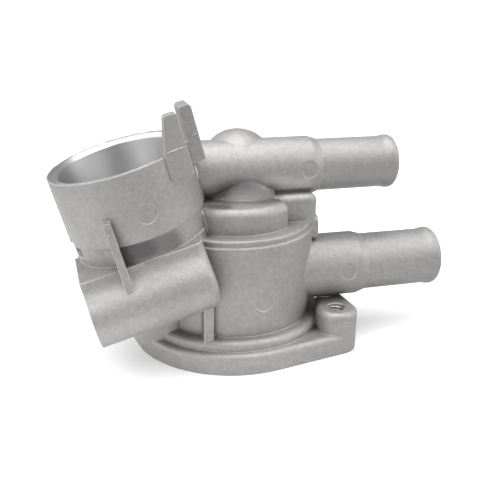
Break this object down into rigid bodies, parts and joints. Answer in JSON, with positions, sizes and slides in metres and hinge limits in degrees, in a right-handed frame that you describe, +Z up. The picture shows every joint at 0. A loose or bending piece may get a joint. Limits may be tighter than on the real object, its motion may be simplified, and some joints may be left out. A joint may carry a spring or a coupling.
{
  "type": "thermostat housing",
  "caption": "Cast aluminium thermostat housing with a leaning ring, two hose nipples and a flange with tapped ears.",
  "frame": {"origin": "centre of the chamber port on the flange's bottom face", "axes": "+Z up out of the flange, +X along the hose nipples towards their open ends"},
  "size_m": [0.1395, 0.0736, 0.0877],
  "materials": {
    "cast": "satin"
  },
  "bodies": {
    "root": {"housing": "cast"}
  },
  "joints": []
}
